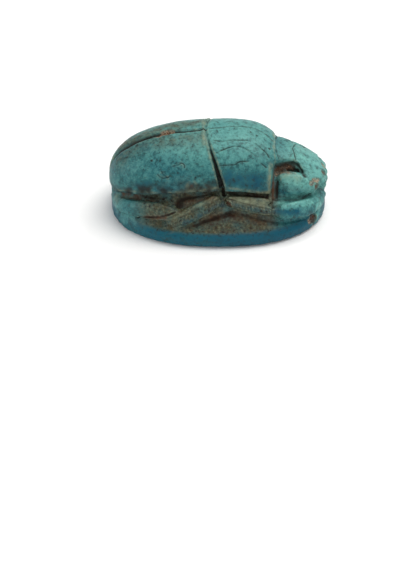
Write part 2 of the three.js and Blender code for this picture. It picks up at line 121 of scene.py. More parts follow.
class GlazeColours(bpy.types.PropertyGroup):
    """Colours of the glazed ware."""

    glaze: FloatVectorProperty(
        name="Glaze", description="Blue-green glaze",
        subtype="COLOR", default=srgb(37, 100, 103),
    )
    deep: FloatVectorProperty(
        name="Deep glaze", description="Where the glaze has pooled",
        subtype="COLOR", default=srgb(0, 78, 96),
    )
    # Pale glaze, which also paints the light on the tops, the head, the fore leg and the rear end.
    thin_and_lit: FloatVectorProperty(
        name="Thin glaze", description="Where the glaze is thin and pale",
        subtype="COLOR", default=srgb(108, 174, 164),
    )
    olive: FloatVectorProperty(
        name="Soiled glaze", description="Glaze under old soil",
        subtype="COLOR", default=srgb(66, 68, 48),
    )
    # Dark soil, which also paints the shade in hollows, under the hems and low on the body.
    soil_and_shade: FloatVectorProperty(
        name="Soil", description="Dark soil in the hollows",
        subtype="COLOR", default=srgb(26, 17, 9),
    )
    rust: FloatVectorProperty(
        name="Rust soil", description="Reddish soil",
        subtype="COLOR", default=srgb(86, 50, 30),
    )
    core: FloatVectorProperty(
        name="Core", description="Bare ware where the glaze is chipped",
        subtype="COLOR", default=srgb(164, 140, 116),
    )
    rubbed: FloatVectorProperty(
        name="Rubbed edge", description="Edges rubbed pale",
        subtype="COLOR", default=srgb(122, 130, 106),
    )


class StageSettings(bpy.types.PropertyGroup):
    """Where the camera stands and what it takes in."""

    distance: FloatProperty(
        name="Distance", description="Camera to the amulet", default=VIEW_DISTANCE, unit="LENGTH",
    )
    elevation: FloatProperty(
        name="Elevation", description="Height of the view", default=VIEW_ELEVATION, subtype="ANGLE",
    )
    sideways: FloatProperty(
        name="Sideways", description="How far right of the middle the amulet lies",
        default=0.00119, unit="LENGTH",
    )
    upwards: FloatProperty(
        name="Upwards", description="How far above the middle the amulet lies",
        default=0.00765, unit="LENGTH",
    )
    pixel: FloatProperty(
        name="Pixel", description="Width of one picture element at the amulet",
        default=0.00009145, unit="LENGTH",
    )


def camera_place(distance, elevation):
    """Where a camera in front of the near side stands, and its right and up directions."""
    up = Vector((0, math.sin(elevation), math.cos(elevation)))
    place = distance * Vector((0, -math.cos(elevation), math.sin(elevation)))
    return place, Vector((1, 0, 0)), up


class Clay:
    """The surface of a mesh as arrays of points, moved as a carver would cut it."""

    # Soil also carries painted shade, and thin glaze also carries painted light.
    MARKS = ("soil_and_shade", "rust", "rubbed", "core", "olive", "deep", "thin_and_lit")

    def __init__(self, mesh):
        self.mesh = mesh
        places = np.empty(len(mesh.vertices) * 3, dtype=np.float32)
        mesh.vertices.foreach_get("co", places)
        self.points = places.reshape(-1, 3).astype(float)
        ends = np.empty(len(mesh.edges) * 2, dtype=np.int32)
        mesh.edges.foreach_get("vertices", ends)
        first, second = ends.reshape(-1, 2).astype(np.int64).T
        self.starts = np.concatenate([first, second])
        self.ends = np.concatenate([second, first])
        self.neighbours = np.maximum(1, np.bincount(self.starts, minlength=len(self.points)))
        self.out = None
        self.marks = {name: np.zeros(len(self.points)) for name in self.MARKS}

    def average(self, values):
        """The mean of each point's neighbours."""
        if values.ndim == 1:
            return np.bincount(self.starts, values[self.ends], len(values)) / self.neighbours
        columns = [self.average(values[:, axis]) for axis in range(values.shape[1])]
        return np.stack(columns, axis=1)

    def smoothed(self, values, rounds):
        """Values spread over their neighbours a number of times."""
        for _ in range(rounds):
            values = (1 - EASE) * values + EASE * self.average(values)
        return values

    def relax(self, rounds, weight):
        """Rubs the surface smooth where the weight is high."""
        weight = np.asarray(weight)[:, None]
        for _ in range(rounds):
            self.points += EASE * weight * (self.average(self.points) - self.points)

    def write(self):
        """Moves the mesh to where the points are."""
        self.mesh.vertices.foreach_set("co", self.points.astype(np.float32).ravel())
        self.mesh.update()

    def face_out(self):
        """Works out which way is outward everywhere, evened over a small neighbourhood."""
        self.write()
        flat = np.empty(len(self.points) * 3, dtype=np.float32)
        self.mesh.vertex_normals.foreach_get("vector", flat)
        out = self.smoothed(flat.reshape(-1, 3).astype(float), 8)
        self.out = out / np.maximum(1e-9, np.linalg.norm(out, axis=1))[:, None]

    def push(self, amount):
        """Moves the surface out, or in where the amount is negative."""
        self.points += np.asarray(amount)[:, None] * self.out

    def mark(self, name, amount):
        """Raises a mark to the amount, where it is lower."""
        self.marks[name] = np.maximum(self.marks[name], amount)

    def hollowness(self, rounds):
        """How far each place lies under the evened surface, in millimetres; ridges are negative."""
        return np.sum((self.smoothed(self.points, rounds) - self.points) * self.out, axis=1)

    def store_marks(self):
        """Keeps the marks on the mesh, for the material to read."""
        for name, values in self.marks.items():
            attribute = self.mesh.attributes.new(name, "FLOAT", "POINT")
            attribute.data.foreach_set("value", np.clip(values, 0, 1).astype(np.float32))


def bell(distance, width):
    """1 at no distance, falling smoothly to nothing."""
    return np.exp(-((distance / width) ** 2))


def step(values, low, high):
    """0 below low, 1 above high and a smooth rise between."""
    share = np.clip((values - low) / (high - low), 0, 1)
    return share * share * (3 - 2 * share)


def wander(points, size, seed, octaves=2):
    """Smooth noise from about -1 to 1, with bumps of the given size."""
    shift = Vector((seed * 7.3, seed * 3.1, seed * 5.7))
    return np.array([
        noise.fractal(Vector(point) / size + shift, 1.0, 2.0, octaves) for point in points
    ])


class Along:
    """Where the points of a surface lie beside a path: only those within reach are looked at."""

    def __init__(self, clay, path, reach):
        path = np.asarray(path, dtype=float)
        low, high = path.min(axis=0) - reach, path.max(axis=0) + reach
        self.near = np.nonzero(np.all((clay.points > low) & (clay.points < high), axis=1))[0]
        points = clay.points[self.near]
        lengths = np.linalg.norm(np.diff(path, axis=0), axis=1)
        before = np.concatenate([[0], np.cumsum(lengths)])
        self.length = before[-1]
        self.distance = np.full(len(points), np.inf)
        self.place = np.zeros(len(points))
        self.offset = np.zeros((len(points), 3))
        self.way = np.zeros((len(points), 3))
        for index, length in enumerate(lengths):
            way = (path[index + 1] - path[index]) / max(length, 1e-9)
            along = np.clip((points - path[index]) @ way, 0, length)
            offset = points - path[index] - along[:, None] * way
            gap = np.linalg.norm(offset, axis=1)
            closer = gap < self.distance
            self.distance[closer] = gap[closer]
            self.place[closer] = before[index] + along[closer]
            self.offset[closer] = offset[closer]
            self.way[closer] = way

    @property
    def share(self):
        """How far along the path each near point lies, from 0 to 1."""
        return self.place / self.length

    def sideways(self, clay):
        """The signed distance across the path, along the surface."""
        side = np.cross(self.way, clay.out[self.near])
        side /= np.maximum(1e-9, np.linalg.norm(side, axis=1))[:, None]
        return np.sum(self.offset * side, axis=1)

    def spread(self, clay, amount):
        """The amount at the near points, and nothing elsewhere."""
        whole = np.zeros(len(clay.points))
        whole[self.near] = amount
        return whole


def at(share, amount):
    """An amount that is one number, or a list of (share, amount) knots along a path."""
    if isinstance(amount, (int, float)):
        return amount
    shares, amounts = zip(*amount)
    return np.interp(share, shares, amounts)


def curved(knots, steps=6):
    """A smooth path through knots, as many short straight steps."""
    knots = np.asarray(knots, dtype=float)
    padded = np.vstack([2 * knots[0] - knots[1], knots, 2 * knots[-1] - knots[-2]])
    path = []
    for index in range(1, len(padded) - 2):
        a, b, c, d = padded[index - 1:index + 3]
        for t in np.arange(steps) / steps:
            path.append(
                0.5 * (2 * b + (c - a) * t + (2 * a - 5 * b + 4 * c - d) * t ** 2
                       + (3 * b - a - 3 * c + d) * t ** 3)
            )
    path.append(knots[-1])
    return np.array(path)


class Sight:
    """Finds the places of the surface that lines drawn on the view fall on."""

    def __init__(self, clay):
        clay.write()
        shape = bmesh.new()
        shape.from_mesh(clay.mesh)
        self.tree = BVHTree.FromBMesh(shape)
        shape.free()
        place, self.right, self.up = camera_place(VIEW_DISTANCE, VIEW_ELEVATION)
        self.eye = place / MILLIMETRE

    def fall(self, knots, steps=6):
        """The path on the surface under knots given as millimetres along and up the view."""
        found = []
        for along, rise in curved(knots, steps):
            target = self.right * along + self.up * rise
            hit = self.tree.ray_cast(self.eye, (target - self.eye).normalized())[0]
            if hit is not None:
                found.append(hit[:])
        return np.array(found)

    def down_the_rear(self, heights):
        """Places on the middle of the rear end, at some heights."""
        behind, forward = -3 * PLINTH_HALF_LENGTH, Vector((1, 0, 0))
        hits = [self.tree.ray_cast(Vector((behind, 0, height)), forward)[0] for height in heights]
        return np.array([place for place in hits if place is not None])

    def spot(self, place):
        """The one place on the surface under a point of the view."""
        return self.fall([place, (place[0] + 0.01, place[1])], steps=1)[0]


def across(path):
    """The same path on the far side of the beetle."""
    return path * np.array([1, -1, 1])


# Each puts a path on one side of the beetle: the near side, then the far side.
BOTH_SIDES = (np.asarray, across)


def copy_of_frame():
    """A merged copy of the frame's solid, in millimetres."""
    shape = bmesh.new()
    shape.from_mesh(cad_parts[NODE].data)
    bmesh.ops.remove_doubles(shape, verts=shape.verts, dist=1e-8)
    bmesh.ops.scale(shape, vec=Vector((1, 1, 1)) / MILLIMETRE, verts=shape.verts)
    mesh = bpy.data.meshes.new("carved_amulet")
    shape.to_mesh(mesh)
    shape.free()
    piece = bpy.data.objects.new("carved_amulet", mesh)
    bpy.context.scene.collection.objects.link(piece)
    return piece


def finish_modifiers(piece):
    """Replaces a piece's mesh by the one that its modifiers make."""
    scene_now = bpy.context.evaluated_depsgraph_get()
    made = bpy.data.meshes.new_from_object(piece.evaluated_get(scene_now))
    piece.modifiers.clear()
    old = piece.data
    piece.data = made
    bpy.data.meshes.remove(old)
    return made


class SCARAB_OT_carve(bpy.types.Operator):
    """Carve the amulet"""

    bl_idname = "scarab.carve"
    bl_label = "Carve the amulet"

    def execute(self, context):
        sizes = context.scene.scarab_sizes
        piece = copy_of_frame()
        remesh = piece.modifiers.new("grain", "REMESH")
        remesh.mode = "VOXEL"
        remesh.voxel_size = sizes.grain
        mesh = finish_modifiers(piece)
        clay = Clay(mesh)
        carve_amulet(clay, sizes)
        fewer = piece.modifiers.new("fewer", "DECIMATE")
        triangles = 2 * len(mesh.polygons)
        fewer.ratio = sizes.most_triangles / triangles
        mesh = finish_modifiers(piece)
        mesh.transform(Matrix.Scale(MILLIMETRE, 4))
        mesh.shade_smooth()
        mesh.materials.clear()
        mesh.materials.append(glaze(context.scene.scarab_colours))
        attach(piece, BODY)
        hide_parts(NODE)
        return {"FINISHED"}


def cut(clay, path, width, depth, lip=0.0, strength=1.0, ragged=0.4):
    """Sinks a groove along a path, with a raised lip on both sides, and darkens it with soil and
    painted shade.
    """
    beside = Along(clay, path, 4 * np.max(at(np.linspace(0, 1, 9), width)))
    half = at(beside.share, width)
    uneven = wander(clay.points[beside.near], 0.35, 3)
    distance = np.maximum(0, beside.distance + ragged * half * uneven)
    shape = bell(distance, half) * (1 + ragged * wander(clay.points[beside.near], 0.8, 4))
    lips = bell(distance - 1.8 * half, 0.7 * half)
    clay.push(beside.spread(clay, lip * lips - at(beside.share, depth) * shape))
    clay.mark("soil_and_shade", beside.spread(clay, at(beside.share, strength) * shape))


def stain(clay, path, width, mark, strength):
    """Marks the surface along a path, patchily, without cutting it."""
    beside = Along(clay, path, 3 * np.max(at(np.linspace(0, 1, 9), width)))
    half = at(beside.share, width)
    patchy = 0.75 + 0.6 * wander(clay.points[beside.near], 0.5, 6)
    shape = bell(beside.distance, half) * np.clip(patchy, 0, 1.2)
    clay.mark(mark, beside.spread(clay, at(beside.share, strength) * shape))


def raise_ridge(clay, path, width, height, strength):
    """Raises a narrow ridge along a path and marks it as rubbed."""
    beside = Along(clay, path, 4 * width)
    shape = bell(beside.distance, width)
    clay.push(beside.spread(clay, at(beside.share, height) * shape))
    worn = np.clip(0.75 + 0.8 * wander(clay.points[beside.near], 0.7, 7), 0, 1)
    clay.mark("rubbed", beside.spread(clay, at(beside.share, strength) * shape * worn))


def dress_leg(clay, path, half_width, pitch, lean):
    """Gives a leg two rubbed edges, a sunk line inside each, and leaning ribs between them."""
    beside = Along(clay, path, 2 * half_width)
    side = beside.sideways(clay)
    on_leg = bell(beside.distance, 1.5 * half_width)
    edge = bell(np.abs(side) - 0.86 * half_width, 0.16 * half_width) * on_leg
    line = bell(np.abs(side) - 0.58 * half_width, 0.14 * half_width) * on_leg
    middle = (1 - step(np.abs(side), 0.45 * half_width, 0.62 * half_width)) * on_leg
    rib = np.sin(2 * math.pi * (beside.place + lean * side) / pitch)
    worn = np.clip(0.6 + 0.8 * wander(clay.points[beside.near], 0.7, 7), 0, 1)
    clay.push(beside.spread(clay, 0.05 * edge - 0.05 * line + 0.03 * middle * rib * worn))
    clay.mark("rubbed", beside.spread(clay, 0.7 * edge * worn))
    clay.mark("soil_and_shade", beside.spread(clay, 0.4 * line + 0.3 * middle * step(-rib, 0, 1) * worn))


def chip(clay, centre, size, depth, mark, strength):
    """Breaks a ragged, grainy chip out of the surface round a place, with a dark edge."""
    gap = np.linalg.norm(clay.points - centre, axis=1)
    near = np.nonzero(gap < 2.2 * size)[0]
    places = clay.points[near]
    large, small = wander(places, 1.4 * size, 5), wander(places, 0.4 * size, 9)
    ragged = gap[near] + size * (0.35 * large + 0.2 * small)
    shape = 1 - step(ragged, 0.65 * size, size)
    grain = wander(places, 0.22, 10)
    whole = np.zeros(len(clay.points))
    whole[near] = -depth * shape * (1 + 0.5 * grain)
    clay.push(whole)
    whole[near] = strength * shape * np.clip(0.85 + 0.6 * grain, 0, 1)
    clay.mark(mark, whole)
    whole[near] = 0.55 * bell(ragged - 0.9 * size, 0.16 * size)
    clay.mark("soil_and_shade", whole)


def melt(clay, centre):
    """Rubs the edges off round a place, so that forms run into each other."""
    clay.relax(60, bell(np.linalg.norm(clay.points - centre, axis=1), 0.7))


# Lines of the carving, as millimetres along the length and up the view.
SUTURE = [(-8.69, 5.36), (-7.99, 5.74), (-7.15, 6.10), (-6.31, 6.36),
          (-5.19, 6.59), (-3.79, 6.79), (-2.39, 6.94), (-1.13, 7.04)]
SEAM = [(-1.13, 7.94), (-1.19, 7.49), (-1.13, 6.93), (-0.96, 6.23), (-0.78, 5.53), (-0.60, 4.90),
        (-0.40, 4.27), (-0.19, 3.57), (0.02, 2.87), (0.23, 2.17), (0.42, 1.54), (0.52, 1.08)]
THORAX_EDGE = [(5.10, 6.72), (5.12, 6.02), (5.05, 5.32), (5.13, 4.83), (5.16, 4.34)]
BESIDE_EDGE = [(5.24, 6.20), (5.24, 5.60), (5.34, 5.00), (5.50, 4.40)]
THORAX_CORNER = [(5.12, 4.05), (4.84, 3.60), (4.74, 2.90), (4.71, 2.10), (4.72, 1.30)]
HEM_REAR = [(-9.10, 1.12), (-7.99, 1.02), (-6.17, 0.92), (-4.35, 0.90), (-2.39, 1.00), (-0.99, 1.20),
            (0.20, 1.42)]
HEM_FRONT = [(0.83, 1.36), (1.81, 1.19), (3.21, 1.02), (4.54, 0.88)]
SHIN_FOOT = [(-7.40, -1.02), (-6.60, -1.10), (-5.60, -1.05), (-4.70, -0.85), (-3.90, -0.50)]
REAR_PIT = [(-3.72, -0.12), (-3.64, 0.25), (-3.45, 0.55), (-2.90, 0.74), (-2.00, 0.90), (-1.00, 1.06)]
THIGH = [(0.40, 0.36), (-0.99, -0.26), (-2.39, -0.98), (-3.79, -1.55)]
MIDDLE_LEG = [(1.11, 0.38), (2.23, 0.04), (3.49, -0.26), (4.80, -0.52)]
UNDER_THIGH = [(-2.20, -1.80), (-1.62, -1.58), (-0.71, -1.22), (0.27, -0.92), (1.11, -0.60)]
UNDER_MIDDLE_LEG = [(1.11, -0.50), (2.23, -0.77), (3.63, -1.12), (5.03, -1.44)]
INCISION = [(4.96, 1.60), (5.00, 0.77), (4.91, -0.77)]
FRONT_BAND_TOP = [(5.10, 0.66), (6.01, 0.56), (7.41, 0.70), (8.53, 1.16)]
FRONT_BAND_FOOT = [(5.03, -1.36), (6.01, -1.43), (7.41, -1.23), (8.53, -0.80), (9.30, -0.07)]
RECESS = [(5.25, 3.72), (6.10, 4.02), (7.05, 3.88), (7.55, 3.30), (7.98, 2.76)]
BEHIND_FORE_LEG = [(5.38, 2.20), (5.36, 1.60), (5.36, 0.85)]
BROW = [(6.80, 5.36), (6.88, 5.12), (6.98, 4.86), (7.10, 4.27)]
THORAX_CRACKS = [
    [(-0.15, 4.90), (0.41, 5.18), (1.39, 5.49), (2.09, 5.42), (2.65, 5.18), (3.35, 4.66)],
    [(0.13, 3.71), (0.97, 3.77), (1.60, 3.85), (1.88, 4.06), (2.79, 4.13)],
    [(3.77, 4.02), (4.12, 3.78), (4.40, 3.54)],
    [(-0.71, 7.14), (0.41, 7.24), (1.81, 7.32), (2.93, 7.21), (3.91, 6.89), (4.61, 6.40), (5.00, 5.98)],
    [(3.42, 5.74), (3.91, 5.32), (4.40, 4.90), (4.68, 4.44)],
    [(-0.43, 6.06), (0.41, 5.98), (1.25, 6.06), (2.65, 6.06)],
]
WING_CRACKS = [
    [(-5.19, 3.18), (-4.98, 2.87), (-4.63, 2.62)],
    [(-5.54, 2.90), (-5.12, 2.56), (-4.49, 2.69)],
    [(-4.10, 3.68), (-3.62, 3.79), (-3.37, 3.95), (-3.12, 3.79), (-3.09, 3.54)],
]
# Cracks of the underside, as X and Y.
UNDERSIDE_CRACKS = [
    [(-0.23, -2.98), (-0.08, -0.98), (0.39, 1.17), (1.31, 2.39), (1.62, 4.39), (1.46, 6.69)],
    [(2.54, 1.78), (2.10, 3.00), (1.62, 4.39)],
]
# Pits of the glaze, and places where leg bands and flank run into each other.
PITS = [(-6.60, 0.85), (-6.07, 0.43), (-5.46, 0.51), (-5.00, 0.65), (3.52, 6.47), (4.68, 5.28),
        (2.99, 6.79), (-6.10, 4.20), (-2.10, 2.60)]
MELTED = [(-4.10, -0.10), (-4.60, 0.40), (5.20, 0.10), (5.20, -0.80), (-3.70, -1.80)]


def underneath(points):
    """How far each point belongs to the flat underside, inside its rim."""
    x, y, z = points.T
    outer = np.hypot(x / PLINTH_HALF_LENGTH, y / UNDERSIDE_HALF_WIDTH)
    return (1 - step(z, 0.25, 0.4)) * (1 - step(outer, 0.92, 0.96))


def rub_facets(clay, rounds):
    """Rubs the broad surfaces smooth and leaves the crisp edges and the underside's lines."""
    start = clay.points.copy()
    clay.relax(12, np.ones(len(start)))
    moved = np.linalg.norm(clay.points - start, axis=1)
    clay.points = start
    broad = 1 - step(clay.smoothed(moved, 6), 0.010, 0.030)
    broad = clay.smoothed(broad, 4)
    clay.relax(rounds, np.maximum(broad, 0.03) * (1 - underneath(start)))
    clay.face_out()


def soften_joins(clay, sight):
    """Rounds the plinth's upper corner, and runs the ends of the leg bands into the flank."""
    x, y, z = clay.points.T
    outer = np.hypot(x / PLINTH_HALF_LENGTH, y / PLINTH_HALF_WIDTH)
    corner = bell(z - PLINTH_CORNER_HEIGHT, 0.3) * step(outer, 0.86, 0.94)
    clay.relax(70, corner)
    for place in MELTED:
        for put in BOTH_SIDES:
            melt(clay, put(sight.spot(place)))
    clay.face_out()


def make_uneven(clay, amount):
    """Lets the surface wander as hand-cut clay does, but not the flat underside."""
    stands = step(clay.points[:, 2], 0.05, 0.6)
    large = wander(clay.points, 3.2, 1)
    small = wander(clay.points, 0.9, 2)
    clay.push(stands * amount * (large + 0.35 * small))


# Where an amount is a list, it changes along the line: (share of the length, amount).
REAR_HEIGHTS = (3.2, 3.9, 4.6, 5.2, 5.6)
SUTURE_WIDTH = [(0, 0.12), (0.2, 0.22), (0.35, 0.34), (0.6, 0.26), (0.8, 0.17), (1, 0.12)]
SUTURE_DEPTH = [(0, 0.2), (0.35, 0.42), (0.6, 0.3), (0.8, 0.18), (1, 0.14)]
SEAM_WIDTH = [(0, 0.06), (0.45, 0.09), (0.6, 0.15), (0.85, 0.2), (1, 0.16)]
SEAM_DEPTH = [(0, 0.07), (0.4, 0.14), (0.6, 0.4), (0.85, 0.6), (1, 0.5)]
SEAM_SOIL = [(0, 0.35), (0.4, 0.6), (0.55, 1), (1, 1)]
SEAM_RIDGE = [(0, 0.08), (0.6, 0.05), (1, 0.03)]
SEAM_WEAR = [(0, 1.0), (0.45, 1.0), (0.7, 0.7), (1, 0.4)]
BEHIND_SEAM = np.array([-0.2, 0, 0])

# The hems: a line, its depth, and its soil with painted shade under the hem. A ridge runs this far
# above each.
HEMS = [(HEM_REAR, 0.1, 0.3), (HEM_FRONT, 0.16, 0.6)]
RIDGE_OVER_HEM = 0.36

# Grooves beside the legs and the head: a line, half width, depth, soil with painted shade, and
# raggedness.
SIDE_GROOVES = [
    (SHIN_FOOT, [(0, 0.07), (0.35, 0.22), (0.7, 0.14), (1, 0.08)], 0.14, 0.75, 0.4),
    # Painted shade under the thigh, along with soil.
    (UNDER_THIGH, 0.2, [(0, 0.04), (0.3, 0.12), (1, 0.14)], 0.8, 0.4),
    (UNDER_MIDDLE_LEG, 0.16, 0.1, 0.6, 0.4),
    (FRONT_BAND_TOP, 0.15, 0.14, 0.55, 0.4),
    (FRONT_BAND_FOOT, 0.16, 0.08, 0.12, 0.4),
    (INCISION, 0.06, 0.1, 0.8, 0.4),
    (BROW, 0.08, 0.1, 0.8, 0.4),
    (BESIDE_EDGE, 0.06, 0.07, 0.8, 0.4),
    # Painted shade in the recess under the head, along with soil.
    (RECESS, 0.22, [(0, 0.14), (0.6, 0.16), (1, 0.1)], [(0, 0.2), (0.3, 0.5), (0.6, 0.8), (1, 0.8)],
     0.4),
    (BEHIND_FORE_LEG, 0.17, 0.1, 0.95, 0.2),
    # Painted shade in the hollow behind the thigh, along with soil.
    (REAR_PIT, [(0, 0.14), (0.25, 0.27), (0.5, 0.2), (1, 0.1)], [(0, 0.1), (0.3, 0.25), (1, 0.06)],
     1.0, 0.2),
]


def cut_body_lines(clay, sight):
    """The suture, the seam with its rubbed edge, the front edge of the thorax and the hems."""
    suture = np.concatenate([sight.down_the_rear(REAR_HEIGHTS), sight.fall(SUTURE)])
    cut(clay, suture, SUTURE_WIDTH, SUTURE_DEPTH, lip=0.02, ragged=0.2)
    for put in BOTH_SIDES:
        seam = put(sight.fall(SEAM))
        cut(clay, seam, SEAM_WIDTH, SEAM_DEPTH, strength=SEAM_SOIL, ragged=0.15)
        raise_ridge(clay, seam + BEHIND_SEAM, 0.15, SEAM_RIDGE, SEAM_WEAR)
        raise_ridge(clay, put(sight.fall(THORAX_EDGE)), 0.13, 0.04, 0.8)
        raise_ridge(clay, put(sight.fall(THORAX_CORNER)), 0.2, 0.04, 1.0)
        for hem, depth, soil_and_shade in HEMS:
            cut(clay, put(sight.fall(hem)), 0.24, depth, strength=soil_and_shade)
            above = [(along, height + RIDGE_OVER_HEM) for along, height in hem]
            raise_ridge(clay, put(sight.fall(above)), 0.13, 0.03, 0.75)


def cut_legs(clay, sight, rib_pitch):
    """The ribbed legs, the lines beside and under them, and the recess behind the head."""
    for put in BOTH_SIDES:
        dress_leg(clay, put(sight.fall(THIGH)), 0.62, rib_pitch, 0.6)
        dress_leg(clay, put(sight.fall(MIDDLE_LEG)), 0.45, 0.8 * rib_pitch, -0.4)
        for line, width, depth, soil_and_shade, ragged in SIDE_GROOVES:
            cut(clay, put(sight.fall(line)), width, depth, strength=soil_and_shade, ragged=ragged)


def crack_glaze(clay, sight, width):
    """Fine cracks and pits in the glaze of the near side, and the cracks of the underside."""
    for knots in THORAX_CRACKS:
        cut(clay, sight.fall(knots), width, 0.06, lip=0.008, strength=0.75)
    for knots in WING_CRACKS:
        cut(clay, sight.fall(knots), width, 0.06, lip=0.02, strength=0.75)
    for knots in UNDERSIDE_CRACKS:
        path = np.array([(*knot, 0) for knot in curved(knots)])
        cut(clay, path, 1.3 * width, 0.08, strength=0.9)
    for spot in PITS:
        chip(clay, sight.spot(spot), 0.13, 0.06, "soil_and_shade", 0.9)


# Old losses: place in the view, size, depth, what shows and how strongly.
CHIPS = [
    ((-5.40, 6.42), 0.38, 0.05, "core", 1.0),
    ((-5.05, 6.55), 0.52, 0.06, "core", 1.0),
    ((-4.70, 6.66), 0.50, 0.06, "core", 1.0),
    ((-4.35, 6.75), 0.38, 0.05, "core", 0.9),
    ((9.62, 3.75), 0.36, 0.07, "core", 0.7),
    ((9.62, 3.15), 0.42, 0.09, "rust", 0.9),
    ((8.95, 2.42), 0.42, 0.08, "core", 0.9),
    ((8.55, 2.15), 0.3, 0.06, "core", 0.7),
    ((9.10, 1.85), 0.36, 0.1, "rust", 0.9),
    ((8.80, -1.00), 0.5, 0.2, "rust", 1.0),
    ((8.90, -0.90), 0.3, 0.1, "soil_and_shade", 1.0),
    ((8.45, -1.35), 0.28, 0.08, "core", 0.8),
    ((0.83, 0.20), 0.42, 0.2, "rust", 1.0),
]

# The scar on the wing case's hem, as a place in the view.
SCAR = (-2.42, 1.85)

# Losses on the underside's rim: place, size, depth and what shows. Then its brown spot.
UNDERSIDE_CHIPS = [
    ((-8.15, -3.44, 0.10), 0.45, 0.12, "rust"),
    ((-4.55, 6.10, 0.10), 0.42, 0.10, "core"),
    ((1.93, 6.50, 0.10), 0.34, 0.10, "core"),
    ((6.39, 5.00, 0.10), 0.45, 0.12, "rust"),
    ((8.45, -3.40, 0.10), 0.40, 0.08, "core"),
]
UNDERSIDE_SPOT = (5.32, 4.08, 0.0)


def break_chips(clay, sight):
    """The old losses: on the suture, the front edge, the hem, the rim and the underside."""
    for place, size, depth, name, strength in CHIPS:
        chip(clay, sight.spot(place), size, depth, name, strength)
    for place, size, depth, name in UNDERSIDE_CHIPS:
        chip(clay, np.array(place), size, depth, name, 0.9)
    gap = np.linalg.norm(clay.points - sight.spot(SCAR), axis=1)
    ring = bell(gap - 0.42, 0.16) * np.clip(0.5 + 1.5 * wander(clay.points, 0.5, 8, 1), 0, 1)
    clay.push(0.05 * ring - 0.08 * bell(gap, 0.25))
    clay.mark("rubbed", 0.7 * ring)
    clay.mark("rust", 0.7 * bell(gap, 0.22))
